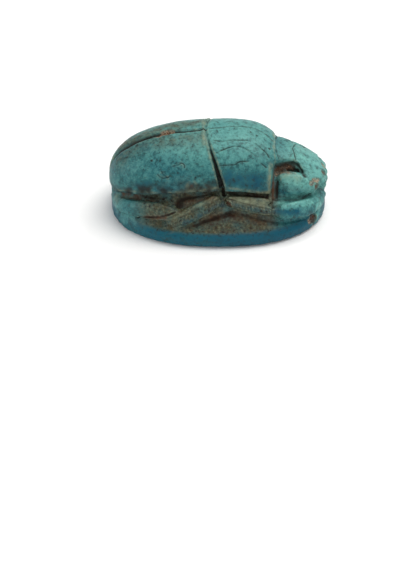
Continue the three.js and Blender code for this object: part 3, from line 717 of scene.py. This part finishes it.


# Stains: a line in the view, its half width, the mark and how strong it is. Soil lines under the hems,
# under the thigh, in the recess under the head and in the hollow behind the thigh also paint the shade
# there; thin lines on the head, the fore leg, the front band and the ends also paint light there.
STAINS = [
    ([(-8.80, 1.12), (-8.00, 1.05), (-7.20, 0.92)], 0.24, "rust", 0.9),
    ([(-6.90, 0.90), (-6.00, 0.74), (-4.90, 0.64)], 0.18, "soil_and_shade", 0.9),
    ([(-7.40, 0.60), (-5.60, 0.50)], 0.3, "olive", 0.8),
    ([(-2.90, 0.35), (-1.80, 0.55), (-0.60, 0.78)], 0.35, "rust", 0.55),
    ([(-2.40, -0.12), (-1.40, 0.30), (-0.40, 0.82)], 0.2, "rubbed", 0.8),
    ([(-1.50, 1.35), (-0.40, 1.55), (0.20, 1.75)], 0.3, "olive", 0.9),
    ([(-3.60, 1.20), (-2.50, 1.50), (-1.70, 1.35)], 0.4, "olive", 0.8),
    # Painted shade under the thorax's hem, along with soil.
    ([(1.20, 1.05), (2.60, 0.95), (4.50, 0.80)], 0.22, "soil_and_shade", 0.95),
    ([(1.90, 0.52), (2.80, 0.42), (4.60, 0.32)], 0.26, "rubbed", 1.1),
    ([(-1.30, -1.35), (-0.30, -1.15), (0.60, -0.90), (1.50, -0.85)], 0.45, "rust", 0.6),
    # Painted shade under the thigh, along with soil.
    ([(-1.60, -1.52), (-0.80, -1.30), (0.60, -0.92), (1.40, -0.85)], 0.22, "soil_and_shade", 0.9),
    ([(1.50, -0.75), (3.00, -1.10), (4.80, -1.40)], 0.4, "rust", 0.5),
    ([(-3.90, -1.90), (-2.80, -2.00), (-1.60, -1.60)], 0.3, "soil_and_shade", 0.4),
    ([(-6.60, -1.12), (-5.60, -1.12), (-4.90, -1.00)], 0.25, "rust", 0.9),
    ([(-7.00, -1.50), (-5.20, -1.65), (-4.20, -1.45)], 0.3, "olive", 0.8),
    ([(0.90, 2.65), (2.20, 2.25), (3.30, 2.20)], 0.65, "deep", 1.4),
    ([(-8.90, 5.60), (-6.60, 6.70), (-4.00, 7.40), (-2.00, 7.70)], 0.9, "olive", 0.85),
    ([(-6.90, 5.50), (-6.60, 5.40)], 0.8, "deep", 0.6),
    ([(-7.30, 1.90), (-6.30, 2.00)], 0.4, "deep", 0.8),
    ([(5.05, 3.40), (5.02, 2.40), (5.05, 1.30), (5.08, 0.75)], 0.26, "rust", 1.1),
    ([(5.30, 3.45), (6.00, 3.60), (6.60, 3.60)], 0.5, "rust", 1.2),
    # Painted shade in the recess under the head, along with soil.
    ([(5.40, 3.62), (6.30, 3.72), (6.90, 3.60)], 0.3, "soil_and_shade", 1.0),
    ([(6.30, 3.40), (6.90, 3.30), (7.30, 3.20)], 0.5, "soil_and_shade", 1.0),
    ([(5.30, 3.20), (5.75, 3.25), (6.20, 3.25)], 0.3, "rust", 0.9),
    ([(5.25, 2.95), (5.80, 3.05), (6.40, 3.10)], 0.36, "core", 0.9),
    ([(5.80, 3.60), (6.40, 3.60)], 0.3, "core", 0.3),
    ([(4.76, 3.90), (4.66, 3.00), (4.62, 2.10), (4.72, 0.80)], 0.17, "rubbed", 0.9),
    # Painted shade in the hollow behind the thigh, along with soil.
    ([(-3.50, 0.48), (-3.42, 0.10)], 0.3, "soil_and_shade", 1.2),
    ([(-3.30, 0.50), (-2.40, 0.72), (-1.20, 0.90)], 0.16, "soil_and_shade", 0.9),
    ([(6.45, 3.72), (6.70, 3.42), (7.00, 3.05)], 0.14, "core", 0.7),
    ([(5.90, 2.80), (6.60, 2.85), (7.30, 2.60)], 0.4, "rubbed", 0.6),
    # Pale glaze and painted light on the fore leg and the front band.
    ([(5.90, 2.50), (6.80, 2.60), (7.80, 2.30)], 0.8, "thin_and_lit", 1.2),
    ([(5.80, -0.05), (7.40, 0.00), (8.60, 0.35)], 0.3, "thin_and_lit", 0.9),
    ([(5.70, 1.35), (7.00, 1.25), (7.90, 1.40)], 0.4, "deep", 0.6),
    ([(5.60, 0.92), (6.60, 0.82), (7.60, 0.95), (8.20, 1.30)], 0.2, "soil_and_shade", 0.6),
    # Pale glaze and painted light on the top of the front band.
    ([(5.30, 0.35), (6.60, 0.30), (8.20, 0.65)], 0.3, "thin_and_lit", 1.0),
    ([(5.30, -0.40), (6.30, -0.50), (7.40, -0.35)], 0.35, "deep", 1.1),
    # Pale glaze and painted light on the head.
    ([(7.40, 4.60), (8.60, 4.20), (9.40, 3.60)], 0.9, "thin_and_lit", 0.9),
    ([(-9.30, 0.90), (-9.20, 0.50)], 0.35, "rubbed", 0.7),
    ([(-9.20, 0.00), (-8.60, -0.70), (-7.60, -1.40)], 1.2, "deep", 0.5),
    # Pale glaze and painted light on the rear end.
    ([(-9.30, 0.20), (-9.00, -0.60), (-8.00, -1.60)], 0.9, "thin_and_lit", 0.6),
    ([(-8.60, 0.85), (-7.00, 0.62), (-5.20, 0.45), (-3.80, 0.40)], 0.34, "olive", 1.0),
    ([(-8.20, 0.78), (-7.00, 0.60), (-5.60, 0.50), (-4.60, 0.50)], 0.2, "soil_and_shade", 0.55),
    ([(0.34, 0.10), (-0.43, -0.22), (-1.95, -1.09), (-3.09, -1.55)], 0.3, "deep", 0.75),
    ([(1.21, 0.30), (2.35, -0.10), (3.73, -0.40), (4.87, -0.62)], 0.28, "deep", 0.75),
    # Pale glaze and painted light on the front end.
    ([(9.20, 0.20), (9.10, -1.00)], 0.6, "thin_and_lit", 0.9),
]


def hem_height(x, y):
    """How high the wing cases' hem stands round the body: low at the ends, high at the sides."""
    turn = np.arctan2(y / BODY_HALF_WIDTH, (x - BODY_MIDDLE) / BODY_HALF_LENGTH)
    return HEM_AT_THE_ENDS + HEM_RISE * np.abs(np.sin(turn)) ** HEM_CURVE


def soil_wear_and_painted_light(clay, sight):
    """Soil and painted shade darken every hollow, and edges are rubbed; painted shade darkens the body
    low above the hem, and pale glaze with painted light brightens the tops and the head.
    """
    for knots, width, name, strength in STAINS:
        path = sight.fall(knots)
        stain(clay, path, width, name, strength)
        if name in ("soil_and_shade", "rust", "olive"):
            stain(clay, across(path), width, name, 0.8 * strength)
    x, y, z = clay.points.T
    above_hem = z - hem_height(x, y)
    flank = step(-above_hem, -0.1, 0.25) * step(z, 1.15, 1.5)
    under = underneath(clay.points)

    middle = step(x, -8.5, -5.5) * (1 - step(x, 4.4, 6.2))
    cloudy = np.clip(0.95 + 0.6 * wander(clay.points, 1.2, 13), 0, 1)
    clay.mark("olive", flank * middle * cloudy)

    # Every hollow is darkened with soil and painted shade, more where the glaze is soiled and on the
    # underside.
    fine, wide = clay.hollowness(5), clay.hollowness(30)
    soil_and_shade_weight = 0.35 + 0.65 * clay.smoothed(np.maximum(clay.marks["olive"], under), 10)
    clay.mark("soil_and_shade", np.clip(soil_and_shade_weight * (step(wide, 0.05, 0.26) + step(fine, 0.015, 0.07)), 0, 1))
    clay.mark("rubbed", 0.8 * step(-fine, 0.010, 0.04) * step(z, 0.2, 0.5))

    clay.mark("soil_and_shade", 0.85 * under * step(z, 0.012, 0.05))
    clay.mark("rust", 0.8 * bell(np.linalg.norm(clay.points - UNDERSIDE_SPOT, axis=1), 0.35))

    # Painted shade: a band above the hem is darkened, more on the wing cases.
    painted_low_shade = step(2.2 - above_hem, 0, 1.8) * (1 - flank) * step(z, 1.6, 2.0)
    patchy = np.clip(0.62 + 0.5 * wander(clay.points, 0.7, 12), 0, 1)
    on_wings = x < 0.5
    clay.mark("soil_and_shade", (0.42 + 0.4 * on_wings) * painted_low_shade * patchy)

    rim = 1 - step(z, 1.25, 1.5)
    ends = step(np.abs(x), 4.0, 9.0)
    low = step(1.2 - above_hem, 0, 1.2) * (1 - flank)
    clay.mark("deep", (0.9 - 0.45 * ends) * rim + 0.2 * low)
    # Pale glaze and painted light: the tops and the head are made lighter.
    clay.mark("thin_and_lit", 0.45 * step(z, 6.2, 8.4) + 0.6 * step(x, 4.6, 7.5) * step(z, 2.0, 3.5))


def carve_amulet(clay, sizes):
    """Rubs the facets away, then cuts the grooves, ribs, cracks and chips, and marks the soil, the wear
    and the painted light and shade.
    """
    rub_facets(clay, sizes.facet_rounds)
    sight = Sight(clay)
    soften_joins(clay, sight)
    make_uneven(clay, sizes.unevenness)
    cut_body_lines(clay, sight)
    cut_legs(clay, sight, sizes.rib_pitch)
    crack_glaze(clay, sight, sizes.crack_width)
    break_chips(clay, sight)
    soil_wear_and_painted_light(clay, sight)
    clay.write()
    clay.store_marks()


class Number:
    """A number socket of a material, used in Python expressions."""

    def __init__(self, tree, socket):
        self.tree, self.socket = tree, socket

    def math(self, operation, *values):
        """The number that a Math node makes of some numbers."""
        node = self.tree.nodes.new("ShaderNodeMath")
        node.operation = operation
        for place, value in enumerate(values):
            if isinstance(value, Number):
                self.tree.links.new(value.socket, node.inputs[place])
            else:
                node.inputs[place].default_value = value
        return Number(self.tree, node.outputs[0])

    def __add__(self, other):
        return self.math("ADD", self, other)

    def __radd__(self, other):
        return self.math("ADD", other, self)

    def __sub__(self, other):
        return self.math("SUBTRACT", self, other)

    def __rsub__(self, other):
        return self.math("SUBTRACT", other, self)

    def __mul__(self, other):
        return self.math("MULTIPLY", self, other)

    def __rmul__(self, other):
        return self.math("MULTIPLY", other, self)

    def between(self, low, high):
        """0 below low, 1 above high and a smooth rise between."""
        node = self.tree.nodes.new("ShaderNodeMapRange")
        node.interpolation_type = "SMOOTHSTEP"
        self.tree.links.new(self.socket, node.inputs["Value"])
        node.inputs["From Min"].default_value = low
        node.inputs["From Max"].default_value = high
        return Number(self.tree, node.outputs["Result"])


class Finish:
    """A material's nodes, made one call each."""

    def __init__(self, name):
        self.material = bpy.data.materials.new(name)
        self.material.use_nodes = True
        self.tree = self.material.node_tree
        self.shader = self.tree.nodes["Principled BSDF"]

    def node(self, kind, settings=None, inputs=None):
        """A new node with its settings made and its sockets fed."""
        node = self.tree.nodes.new(kind)
        for name, value in (settings or {}).items():
            setattr(node, name, value)
        for name, value in (inputs or {}).items():
            self.feed(node.inputs[name], value)
        return node

    def feed(self, socket, value):
        """Links a number or a socket to a socket, or sets a plain value on it."""
        if isinstance(value, Number):
            self.tree.links.new(value.socket, socket)
        elif isinstance(value, bpy.types.NodeSocket):
            self.tree.links.new(value, socket)
        else:
            socket.default_value = value

    def mark(self, name):
        """One of the marks that the carving left on the surface, from 0 to 1."""
        node = self.node("ShaderNodeAttribute", {"attribute_name": name})
        return Number(self.tree, node.outputs["Fac"])

    def places(self):
        """The object's own coordinates, in millimetres."""
        texture = self.node("ShaderNodeTexCoord")
        scaled = self.node("ShaderNodeVectorMath", {"operation": "SCALE"},
                           {0: texture.outputs["Object"], "Scale": 1 / MILLIMETRE})
        return scaled.outputs[0]

    def noise(self, places, size, detail, roughness, shift):
        """Noise from 0 to 1 with features of a size in millimetres."""
        moved = self.node("ShaderNodeVectorMath", {"operation": "ADD"},
                          {0: places, 1: (shift, shift, shift)})
        node = self.node("ShaderNodeTexNoise", None, {
            "Vector": moved.outputs[0], "Scale": 1 / size, "Detail": detail, "Roughness": roughness})
        return Number(self.tree, node.outputs["Fac"])

    def mix(self, factor, first, second):
        """The first colour, turning to the second as the factor rises to 1."""
        node = self.node("ShaderNodeMix", {"data_type": "RGBA", "clamp_factor": True})
        self.feed(node.inputs[0], factor)
        self.feed(node.inputs[6], first)
        self.feed(node.inputs[7], second)
        return node.outputs[2]


def glaze(colours):
    """The blue-green glaze with its soil and wear, and painted light and shade."""
    finish = Finish("glazed ware")
    tint = {name: (*getattr(colours, name), 1) for name in GlazeColours.__annotations__}
    places = finish.places()
    patches = finish.noise(places, 2.6, 2.0, 0.5, 0.0)
    mottle = finish.noise(places, 0.55, 4.0, 0.7, 11.0)
    speckle = finish.noise(places, 0.13, 2.0, 0.7, 23.0)
    grit = finish.noise(places, 0.24, 2.0, 0.6, 31.0)
    soil_and_shade, rust, rubbed, core, olive, deep, thin_and_lit = (finish.mark(name) for name in Clay.MARKS)

    blue = deep * 0.9 + (patches.between(0.42, 0.62) - 0.25) * 0.45 + (mottle - 0.5) * 1.2
    colour = finish.mix(blue, tint["glaze"], tint["deep"])
    # Thin glaze and painted light make the colour paler.
    pale = thin_and_lit * 0.9 - deep * 0.5 + speckle.between(0.5, 0.75) * 0.2 + (mottle - 0.45) * 1.3
    colour = finish.mix(pale, colour, tint["thin_and_lit"])
    veil = olive * (1.0 - deep * 0.65)
    colour = finish.mix(veil * (0.75 + mottle.between(0.35, 0.6) * 0.25), colour, tint["olive"])
    colour = finish.mix(veil * speckle.between(0.48, 0.62) * 0.4, colour, tint["rust"])
    colour = finish.mix(veil * grit.between(0.52, 0.68) * 0.38, colour, tint["rubbed"])
    dark = grit.between(0.48, 0.3) * (0.4 + olive * 0.4) + mottle.between(0.5, 0.3) * 0.45
    colour = finish.mix(dark, colour, tint["soil_and_shade"])
    colour = finish.mix(rubbed * (0.35 + mottle.between(0.4, 0.6) * 0.65), colour, tint["rubbed"])
    colour = finish.mix(rust * (0.5 + mottle * 0.8), colour, tint["rust"])
    reddish = mottle.between(0.42, 0.75) * 0.2 + rust.between(0.4, 0.9) * 0.6
    earth = finish.mix(reddish, tint["soil_and_shade"], tint["rust"])
    # Soil and painted shade turn the colour to dark earth.
    colour = finish.mix(soil_and_shade * 0.4 + soil_and_shade.between(0.2, 0.8) * 0.55, colour, earth)
    bare = finish.mix(speckle.between(0.4, 0.56), tint["rust"], tint["core"])
    colour = finish.mix(core, colour, bare)
    finish.feed(finish.shader.inputs["Base Color"], colour)
    finish.shader.inputs["Specular IOR Level"].default_value = 0.22

    rough = 0.46 + (soil_and_shade + rust + core) * 0.35 + (speckle - 0.5) * 0.25
    finish.feed(finish.shader.inputs["Roughness"], rough.math("MINIMUM", rough, 0.95))
    grain = speckle * 0.6 + mottle * 0.8
    bump = finish.node("ShaderNodeBump", None,
                       {"Strength": 0.5, "Distance": 0.05 * MILLIMETRE, "Height": grain})
    finish.feed(finish.shader.inputs["Normal"], bump.outputs["Normal"])
    return finish.material


class SCARAB_OT_stage(bpy.types.Operator):
    """Set the floor, the lights and the camera"""

    bl_idname = "scarab.stage"
    bl_label = "Set the stage"

    def execute(self, context):
        stage = context.scene.scarab_stage
        make_floor()
        make_lights(context.scene)
        make_camera(context.scene, stage)
        return {"FINISHED"}


def make_floor():
    """A pale, matt floor under the amulet."""
    shape = bmesh.new()
    bmesh.ops.create_grid(shape, x_segments=1, y_segments=1, size=FLOOR_HALF_WIDTH)
    mesh = bpy.data.meshes.new("floor")
    shape.to_mesh(mesh)
    shape.free()
    floor = bpy.data.objects.new("floor", mesh)
    bpy.context.scene.collection.objects.link(floor)
    material = bpy.data.materials.new("pale paper")
    material.use_nodes = True
    shader = material.node_tree.nodes["Principled BSDF"]
    shader.inputs["Base Color"].default_value = FLOOR_COLOUR
    shader.inputs["Roughness"].default_value = 0.9
    shader.inputs["Specular IOR Level"].default_value = 0.1
    mesh.materials.append(material)


def area_light(scene, name, place, size, watts, tint):
    """A round lamp that faces the amulet."""
    light = bpy.data.lights.new(name, "AREA")
    light.shape = "DISK"
    light.size = size
    light.energy = watts
    light.color = tint
    lamp = bpy.data.objects.new(name, light)
    lamp.location = place
    lamp.rotation_mode = "QUATERNION"
    lamp.rotation_quaternion = (-Vector(place)).to_track_quat("-Z", "Y")
    scene.collection.objects.link(lamp)


def make_lights(scene):
    """An even white room and its soft lamps."""
    world = bpy.data.worlds.new("soft room")
    world.use_nodes = True
    background = world.node_tree.nodes["Background"]
    background.inputs["Color"].default_value = (1, 1, 1, 1)
    background.inputs["Strength"].default_value = WORLD_STRENGTH
    scene.world = world
    for name, place, size, watts, tint in LIGHTS:
        area_light(scene, name, place, size, watts, tint)
    scene.view_settings.view_transform = "Standard"


def make_camera(scene, stage):
    """A camera whose picture shows the amulet at the photograph's size and place."""
    place, right, up = camera_place(stage.distance, stage.elevation)
    camera = bpy.data.cameras.new("camera")
    camera.sensor_width = SENSOR
    camera.lens = SENSOR * stage.distance / (PICTURE_HEIGHT * stage.pixel)
    camera.clip_start = 0.01
    camera.clip_end = 10
    holder = bpy.data.objects.new("camera", camera)
    aim = -right * stage.sideways - up * stage.upwards
    holder.location = place
    holder.rotation_mode = "QUATERNION"
    holder.rotation_quaternion = (aim - place).to_track_quat("-Z", "Y")
    scene.collection.objects.link(holder)
    scene.camera = holder


class SCARAB_PT_panel(bpy.types.Panel):
    """Lists the amulet's steps and settings"""

    bl_idname = "SCARAB_PT_panel"
    bl_label = "Amulet"
    bl_space_type = "VIEW_3D"
    bl_region_type = "UI"
    bl_category = "Amulet"

    def draw(self, context):
        column = self.layout.column()
        for step_class in STEPS:
            column.operator(step_class.bl_idname)
        for group, holder in SETTINGS.items():
            box = self.layout.box()
            for name in holder.__annotations__:
                box.prop(getattr(context.scene, group), name)


STEPS = (SCARAB_OT_carve, SCARAB_OT_stage)
SETTINGS = {
    "scarab_sizes": CarvingSizes,
    "scarab_colours": GlazeColours,
    "scarab_stage": StageSettings,
}


def register():
    """Makes the settings, steps and panel known to Blender."""
    for one in (*SETTINGS.values(), *STEPS, SCARAB_PT_panel):
        bpy.utils.register_class(one)
    for group, holder in SETTINGS.items():
        setattr(bpy.types.Scene, group, PointerProperty(type=holder))


def unregister():
    """Takes them away again."""
    for group in SETTINGS:
        delattr(bpy.types.Scene, group)
    for one in (SCARAB_PT_panel, *STEPS, *SETTINGS.values()):
        bpy.utils.unregister_class(one)


def main():
    """Runs the steps in order."""
    register()
    bpy.ops.scarab.carve()
    bpy.ops.scarab.stage()


if __name__ == "__main__":
    main()
